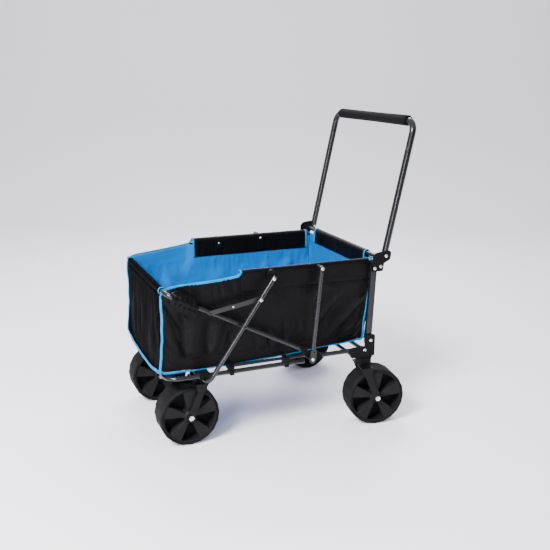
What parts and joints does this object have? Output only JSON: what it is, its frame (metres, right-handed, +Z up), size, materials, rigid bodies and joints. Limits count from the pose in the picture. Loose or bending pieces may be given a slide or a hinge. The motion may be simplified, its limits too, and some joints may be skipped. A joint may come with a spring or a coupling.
{
  "type": "folding beach cart",
  "caption": "Folding cart with a fabric tub on a scissor tube frame, wide swivel wheels and a U-shaped push handle that folds down behind it.",
  "frame": {"origin": "on the ground under the middle of the bounding box", "axes": "+X towards the push handle, +Y towards the right-hand side, +Z up"},
  "size_m": [0.8823, 0.6696, 1.047],
  "materials": {
    "frame_steel": "satin anthracite powder coat on steel tube",
    "black_plastic": "moulded matte black",
    "zinc": "bright zinc plate",
    "black_fabric": "plain woven coated polyester",
    "blue_lining": "plain woven polyester lining",
    "blue_piping": "folded binding tape",
    "grip_foam": "matte closed-cell foam",
    "tread": "matte soft tread",
    "wheel_plastic": "moulded matte black"
  },
  "bodies": {
    "rear_frame": {"rear_posts": "frame_steel", "rear_bracket_l": "black_plastic", "rear_bracket_r": "black_plastic", "rear_cross_tube": "frame_steel", "rear_top_tube": "frame_steel", "handle_bracket_l": "black_plastic", "handle_bracket_r": "black_plastic", "rear_rivets": "zinc", "rear_bar_sleeve": "black_fabric", "rear_panel": "blue_lining"},
    "floor_link": {"lower_rails": "frame_steel", "foot_joints": "black_plastic", "foot_rivets": "zinc"},
    "top_rails": {"top_rail_l": "frame_steel", "top_rail_r": "frame_steel", "top_rail_ears": "black_plastic", "top_sleeve_l": "black_fabric", "top_sleeve_r": "black_fabric", "leg_rivets": "zinc"},
    "mid_posts": {"mid_posts": "frame_steel", "mid_post_plates": "frame_steel"},
    "leg_frame": {"leg_frame": "frame_steel"},
    "bar_frame": {"bar_frame": "frame_steel", "front_bar_sleeve": "black_fabric", "arm_sleeves": "black_fabric", "bar_feet": "black_plastic"},
    "link_front": {"lock_links_front": "black_plastic"},
    "link_rear": {"lock_links_rear": "black_plastic", "lock_rivets": "zinc"},
    "front_frame": {"front_rail_frame": "frame_steel", "front_bracket_l": "black_plastic", "front_bracket_r": "black_plastic", "slide_clips": "black_plastic"},
    "slide_rails": {"slide_rails": "frame_steel", "tub_floor": "blue_lining", "tub_side_l": "black_fabric", "tub_side_r": "black_fabric", "tub_front": "black_fabric"},
    "handle": {"handle_tube": "frame_steel", "handle_grip": "grip_foam", "handle_bolts": "zinc"},
    "caster_fl": {"fork_fl": "frame_steel", "axle_fl": "zinc"},
    "wheel_fl": {"rim_fl": "wheel_plastic", "tread_fl": "tread"},
    "caster_fr": {"fork_fr": "frame_steel", "axle_fr": "zinc"},
    "wheel_fr": {"rim_fr": "wheel_plastic", "tread_fr": "tread"},
    "caster_rl": {"fork_rl": "frame_steel", "axle_rl": "zinc"},
    "wheel_rl": {"rim_rl": "wheel_plastic", "tread_rl": "tread"},
    "caster_rr": {"fork_rr": "frame_steel", "axle_rr": "zinc"},
    "wheel_rr": {"rim_rr": "wheel_plastic", "tread_rr": "tread"}
  },
  "joints": [
    {"name": "fold", "type": "hinge", "parent": "rear_frame", "child": "floor_link", "pos_m": [0.268, 0, 0.264], "axis": [0, 1, 0], "range_deg": [0, 60], "deforming": ["tub_floor", "tub_side_l", "tub_side_r", "tub_front", "rear_panel"]},
    {"name": "top_rail_pivot", "type": "hinge", "parent": "rear_frame", "child": "top_rails", "pos_m": [0.296, 0, 0.57], "axis": [0, 1, 0], "range_deg": [0, 60]},
    {"name": "mid_post_pivot", "type": "hinge", "parent": "floor_link", "child": "mid_posts", "pos_m": [0.064, 0, 0.264], "axis": [0, 1, 0], "range_deg": [-60, 0]},
    {"name": "leg_pivot", "type": "hinge", "parent": "top_rails", "child": "leg_frame", "pos_m": [-0.076, 0, 0.552], "axis": [0, 1, 0], "range_deg": [-94.21, 0.05]},
    {"name": "scissor_pivot", "type": "hinge", "parent": "leg_frame", "child": "bar_frame", "pos_m": [-0.177, 0, 0.40438], "axis": [0, 1, 0], "range_deg": [-0.05, 76.38]},
    {"name": "front_frame_pivot", "type": "hinge", "parent": "leg_frame", "child": "front_frame", "pos_m": [-0.297, 0, 0.229], "axis": [0, 1, 0], "range_deg": [-0.05, 66.21]},
    {"name": "slide", "type": "slide", "parent": "front_frame", "child": "slide_rails", "axis": [1, 0, 0], "range_m": [-0.274, 0]},
    {"name": "link_front_pivot", "type": "hinge", "parent": "bar_frame", "child": "link_front", "pos_m": [-0.282, 0, 0.45824], "axis": [0, 1, 0], "range_deg": [-115.89, 0.05]},
    {"name": "link_rear_pivot", "type": "hinge", "parent": "leg_frame", "child": "link_rear", "pos_m": [-0.12, 0, 0.48769], "axis": [0, 1, 0], "range_deg": [-0.05, 112.21]},
    {"name": "handle_fold", "type": "hinge", "parent": "rear_frame", "child": "handle", "pos_m": [0.332, 0, 0.59], "axis": [0, 1, 0], "range_deg": [0, 140]},
    {"name": "swivel_fl", "type": "hinge", "parent": "front_frame", "child": "caster_fl", "pos_m": [-0.3, -0.19, 0.21], "axis": [0, 0, 1], "continuous": true},
    {"name": "roll_fl", "type": "hinge", "parent": "caster_fl", "child": "wheel_fl", "pos_m": [-0.339, -0.19, 0.1], "axis": [0, 1, 0], "continuous": true},
    {"name": "swivel_fr", "type": "hinge", "parent": "front_frame", "child": "caster_fr", "pos_m": [-0.3, 0.19, 0.21], "axis": [0, 0, 1], "continuous": true},
    {"name": "roll_fr", "type": "hinge", "parent": "caster_fr", "child": "wheel_fr", "pos_m": [-0.339, 0.19, 0.1], "axis": [0, 1, 0], "continuous": true},
    {"name": "swivel_rl", "type": "hinge", "parent": "rear_frame", "child": "caster_rl", "pos_m": [0.268, -0.272, 0.21], "axis": [0, 0, 1], "continuous": true},
    {"name": "roll_rl", "type": "hinge", "parent": "caster_rl", "child": "wheel_rl", "pos_m": [0.30652, -0.2781, 0.1], "axis": [0.1564, 0.9877, 0], "continuous": true},
    {"name": "swivel_rr", "type": "hinge", "parent": "rear_frame", "child": "caster_rr", "pos_m": [0.268, 0.272, 0.21], "axis": [0, 0, 1], "continuous": true},
    {"name": "roll_rr", "type": "hinge", "parent": "caster_rr", "child": "wheel_rr", "pos_m": [0.30652, 0.2781, 0.1], "axis": [-0.1564, 0.9877, 0], "continuous": true}
  ],
  "couplings": [
    {"joint": "top_rail_pivot", "follows": "fold", "ratio": 1},
    {"joint": "mid_post_pivot", "follows": "fold", "ratio": -1},
    {"joint": "leg_pivot", "follows": "fold", "ratio": -1.5694},
    {"joint": "scissor_pivot", "follows": "fold", "ratio": 1.2722},
    {"joint": "front_frame_pivot", "follows": "fold", "ratio": 1.1027},
    {"joint": "slide", "follows": "fold", "m_per_rad": -0.26119},
    {"joint": "link_front_pivot", "follows": "fold", "ratio": -1.9307},
    {"joint": "link_rear_pivot", "follows": "fold", "ratio": 1.8693}
  ]
}
